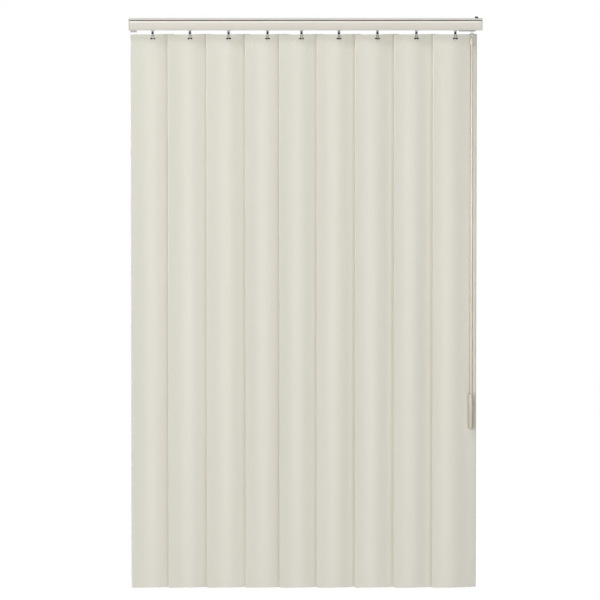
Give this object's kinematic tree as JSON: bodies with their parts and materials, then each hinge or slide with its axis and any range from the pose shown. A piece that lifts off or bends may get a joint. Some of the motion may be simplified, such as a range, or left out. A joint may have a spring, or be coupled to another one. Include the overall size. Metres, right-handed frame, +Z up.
{
  "type": "vertical blind",
  "caption": "Vertical blind: aluminium head rail with geared carriers, clear hangers, curved ivory vanes that turn together and draw to one side, and a rigid wand that works both",
  "frame": {"origin": "the middle of the head rail's top face", "axes": "+X to the right as seen from the room, +Y away from the viewer to the window, +Z up"},
  "size_m": [0.708, 0.038, 1.1494],
  "materials": {
    "rail_paint": "satin",
    "ivory_moulding": "satin",
    "bare_metal": "drawn",
    "white_moulding": "satin",
    "grey_moulding": "satin",
    "strip_plastic": "smooth",
    "clear_moulding": "clear",
    "vane_pvc": "satin",
    "plated_wire": "plated",
    "clear_rod": "clear",
    "beige_grip": "satin"
  },
  "bodies": {
    "rail": {"head_rail": "rail_paint", "end_cap_left": "ivory_moulding", "end_cap_right": "ivory_moulding"},
    "rod": {"tilt_rod": "bare_metal"},
    "carriage_1": {"carrier_1": "white_moulding", "spacer_1": "strip_plastic"},
    "gear_1": {"pinion_1": "white_moulding"},
    "blade_1": {"hanger_1": "clear_moulding", "vane_1": "vane_pvc"},
    "carriage_2": {"carrier_2": "white_moulding", "spacer_2": "strip_plastic"},
    "gear_2": {"pinion_2": "white_moulding"},
    "blade_2": {"hanger_2": "clear_moulding", "vane_2": "vane_pvc"},
    "carriage_3": {"carrier_3": "white_moulding", "spacer_3": "strip_plastic"},
    "gear_3": {"pinion_3": "white_moulding"},
    "blade_3": {"hanger_3": "clear_moulding", "vane_3": "vane_pvc"},
    "carriage_4": {"carrier_4": "white_moulding", "spacer_4": "strip_plastic"},
    "gear_4": {"pinion_4": "white_moulding"},
    "blade_4": {"hanger_4": "clear_moulding", "vane_4": "vane_pvc"},
    "carriage_5": {"carrier_5": "white_moulding", "spacer_5": "strip_plastic"},
    "gear_5": {"pinion_5": "white_moulding"},
    "blade_5": {"hanger_5": "clear_moulding", "vane_5": "vane_pvc"},
    "carriage_6": {"carrier_6": "white_moulding", "spacer_6": "strip_plastic"},
    "gear_6": {"pinion_6": "white_moulding"},
    "blade_6": {"hanger_6": "clear_moulding", "vane_6": "vane_pvc"},
    "carriage_7": {"carrier_7": "white_moulding", "spacer_7": "strip_plastic"},
    "gear_7": {"pinion_7": "white_moulding"},
    "blade_7": {"hanger_7": "clear_moulding", "vane_7": "vane_pvc"},
    "carriage_8": {"carrier_8": "white_moulding", "spacer_8": "strip_plastic"},
    "gear_8": {"pinion_8": "white_moulding"},
    "blade_8": {"hanger_8": "clear_moulding", "vane_8": "vane_pvc"},
    "lead": {"lead_carrier": "grey_moulding"},
    "gear_9": {"pinion_9": "white_moulding"},
    "blade_9": {"hanger_9": "clear_moulding", "vane_9": "vane_pvc"},
    "wand_gear": {"wand_pinion": "white_moulding"},
    "wand_head": {"wand_stub": "white_moulding"},
    "wand": {"wand_hook": "plated_wire", "wand_sleeve": "clear_moulding", "wand_rod": "clear_rod", "wand_grip": "beige_grip"}
  },
  "joints": [
    {"name": "rod_turn", "type": "hinge", "parent": "rail", "child": "rod", "pos_m": [0, 0, -0.0082], "axis": [1, 0, 0], "range_deg": [0, 243]},
    {"name": "carrier_1_traverse", "type": "slide", "parent": "rail", "child": "carriage_1", "axis": [-1, 0, 0], "range_m": [0, 0.0201]},
    {"name": "pinion_1_turn", "type": "hinge", "parent": "carriage_1", "child": "gear_1", "pos_m": [-0.3062, 0, -0.0082], "axis": [1, 0, 0], "range_deg": [0, 243]},
    {"name": "vane_1_tilt", "type": "hinge", "parent": "carriage_1", "child": "blade_1", "pos_m": [-0.3062, 0, 0], "axis": [0, 0, 1], "range_deg": [0, 162]},
    {"name": "carrier_2_traverse", "type": "slide", "parent": "rail", "child": "carriage_2", "axis": [-1, 0, 0], "range_m": [0, 0.0677]},
    {"name": "pinion_2_turn", "type": "hinge", "parent": "carriage_2", "child": "gear_2", "pos_m": [-0.2316, 0, -0.0082], "axis": [1, 0, 0], "range_deg": [0, 243]},
    {"name": "vane_2_tilt", "type": "hinge", "parent": "carriage_2", "child": "blade_2", "pos_m": [-0.2316, 0, 0], "axis": [0, 0, 1], "range_deg": [0, 162]},
    {"name": "carrier_3_traverse", "type": "slide", "parent": "rail", "child": "carriage_3", "axis": [-1, 0, 0], "range_m": [0, 0.1181]},
    {"name": "pinion_3_turn", "type": "hinge", "parent": "carriage_3", "child": "gear_3", "pos_m": [-0.1542, 0, -0.0082], "axis": [1, 0, 0], "range_deg": [0, 243]},
    {"name": "vane_3_tilt", "type": "hinge", "parent": "carriage_3", "child": "blade_3", "pos_m": [-0.1542, 0, 0], "axis": [0, 0, 1], "range_deg": [0, 162]},
    {"name": "carrier_4_traverse", "type": "slide", "parent": "rail", "child": "carriage_4", "axis": [-1, 0, 0], "range_m": [0, 0.1691]},
    {"name": "pinion_4_turn", "type": "hinge", "parent": "carriage_4", "child": "gear_4", "pos_m": [-0.0762, 0, -0.0082], "axis": [1, 0, 0], "range_deg": [0, 243]},
    {"name": "vane_4_tilt", "type": "hinge", "parent": "carriage_4", "child": "blade_4", "pos_m": [-0.0762, 0, 0], "axis": [0, 0, 1], "range_deg": [0, 162]},
    {"name": "carrier_5_traverse", "type": "slide", "parent": "rail", "child": "carriage_5", "axis": [-1, 0, 0], "range_m": [0, 0.2101]},
    {"name": "pinion_5_turn", "type": "hinge", "parent": "carriage_5", "child": "gear_5", "pos_m": [-0.0082, 0, -0.0082], "axis": [1, 0, 0], "range_deg": [0, 243]},
    {"name": "vane_5_tilt", "type": "hinge", "parent": "carriage_5", "child": "blade_5", "pos_m": [-0.0082, 0, 0], "axis": [0, 0, 1], "range_deg": [0, 162]},
    {"name": "carrier_6_traverse", "type": "slide", "parent": "rail", "child": "carriage_6", "axis": [-1, 0, 0], "range_m": [0, 0.2581]},
    {"name": "pinion_6_turn", "type": "hinge", "parent": "carriage_6", "child": "gear_6", "pos_m": [0.0668, 0, -0.0082], "axis": [1, 0, 0], "range_deg": [0, 243]},
    {"name": "vane_6_tilt", "type": "hinge", "parent": "carriage_6", "child": "blade_6", "pos_m": [0.0668, 0, 0], "axis": [0, 0, 1], "range_deg": [0, 162]},
    {"name": "carrier_7_traverse", "type": "slide", "parent": "rail", "child": "carriage_7", "axis": [-1, 0, 0], "range_m": [0, 0.3081]},
    {"name": "pinion_7_turn", "type": "hinge", "parent": "carriage_7", "child": "gear_7", "pos_m": [0.1438, 0, -0.0082], "axis": [1, 0, 0], "range_deg": [0, 243]},
    {"name": "vane_7_tilt", "type": "hinge", "parent": "carriage_7", "child": "blade_7", "pos_m": [0.1438, 0, 0], "axis": [0, 0, 1], "range_deg": [0, 162]},
    {"name": "carrier_8_traverse", "type": "slide", "parent": "rail", "child": "carriage_8", "axis": [-1, 0, 0], "range_m": [0, 0.3591]},
    {"name": "pinion_8_turn", "type": "hinge", "parent": "carriage_8", "child": "gear_8", "pos_m": [0.2218, 0, -0.0082], "axis": [1, 0, 0], "range_deg": [0, 243]},
    {"name": "vane_8_tilt", "type": "hinge", "parent": "carriage_8", "child": "blade_8", "pos_m": [0.2218, 0, 0], "axis": [0, 0, 1], "range_deg": [0, 162]},
    {"name": "lead_traverse", "type": "slide", "parent": "rail", "child": "lead", "axis": [-1, 0, 0], "range_m": [0, 0.4101]},
    {"name": "pinion_9_turn", "type": "hinge", "parent": "lead", "child": "gear_9", "pos_m": [0.2998, 0, -0.0082], "axis": [1, 0, 0], "range_deg": [0, 243]},
    {"name": "vane_9_tilt", "type": "hinge", "parent": "lead", "child": "blade_9", "pos_m": [0.2998, 0, 0], "axis": [0, 0, 1], "range_deg": [0, 162]},
    {"name": "wand_pinion_turn", "type": "hinge", "parent": "lead", "child": "wand_gear", "pos_m": [0.3328, 0, -0.0082], "axis": [1, 0, 0], "range_deg": [0, 243]},
    {"name": "wand_head_turn", "type": "hinge", "parent": "lead", "child": "wand_head", "pos_m": [0.3328, 0, 0], "axis": [0, 0, 1], "range_deg": [0, 162]},
    {"name": "wand_swing", "type": "hinge", "parent": "wand_head", "child": "wand", "pos_m": [0.3328, 0, -0.0298], "axis": [-1, 0, 0], "range_deg": [0, 60]}
  ],
  "couplings": [
    {"joint": "rod_turn", "follows": "vane_9_tilt", "ratio": 1.5},
    {"joint": "pinion_1_turn", "follows": "vane_9_tilt", "ratio": 1.5},
    {"joint": "carrier_1_traverse", "follows": "lead_traverse", "ratio": 0.049012},
    {"joint": "vane_1_tilt", "follows": "vane_9_tilt", "ratio": 1},
    {"joint": "pinion_2_turn", "follows": "vane_9_tilt", "ratio": 1.5},
    {"joint": "carrier_2_traverse", "follows": "lead_traverse", "ratio": 0.16508},
    {"joint": "vane_2_tilt", "follows": "vane_9_tilt", "ratio": 1},
    {"joint": "pinion_3_turn", "follows": "vane_9_tilt", "ratio": 1.5},
    {"joint": "carrier_3_traverse", "follows": "lead_traverse", "ratio": 0.28798},
    {"joint": "vane_3_tilt", "follows": "vane_9_tilt", "ratio": 1},
    {"joint": "pinion_4_turn", "follows": "vane_9_tilt", "ratio": 1.5},
    {"joint": "carrier_4_traverse", "follows": "lead_traverse", "ratio": 0.41234},
    {"joint": "vane_4_tilt", "follows": "vane_9_tilt", "ratio": 1},
    {"joint": "pinion_5_turn", "follows": "vane_9_tilt", "ratio": 1.5},
    {"joint": "carrier_5_traverse", "follows": "lead_traverse", "ratio": 0.51231},
    {"joint": "vane_5_tilt", "follows": "vane_9_tilt", "ratio": 1},
    {"joint": "pinion_6_turn", "follows": "vane_9_tilt", "ratio": 1.5},
    {"joint": "carrier_6_traverse", "follows": "lead_traverse", "ratio": 0.62936},
    {"joint": "vane_6_tilt", "follows": "vane_9_tilt", "ratio": 1},
    {"joint": "pinion_7_turn", "follows": "vane_9_tilt", "ratio": 1.5},
    {"joint": "carrier_7_traverse", "follows": "lead_traverse", "ratio": 0.75128},
    {"joint": "vane_7_tilt", "follows": "vane_9_tilt", "ratio": 1},
    {"joint": "pinion_8_turn", "follows": "vane_9_tilt", "ratio": 1.5},
    {"joint": "carrier_8_traverse", "follows": "lead_traverse", "ratio": 0.87564},
    {"joint": "vane_8_tilt", "follows": "vane_9_tilt", "ratio": 1},
    {"joint": "pinion_9_turn", "follows": "vane_9_tilt", "ratio": 1.5},
    {"joint": "wand_pinion_turn", "follows": "vane_9_tilt", "ratio": 1.5},
    {"joint": "wand_head_turn", "follows": "vane_9_tilt", "ratio": 1}
  ]
}
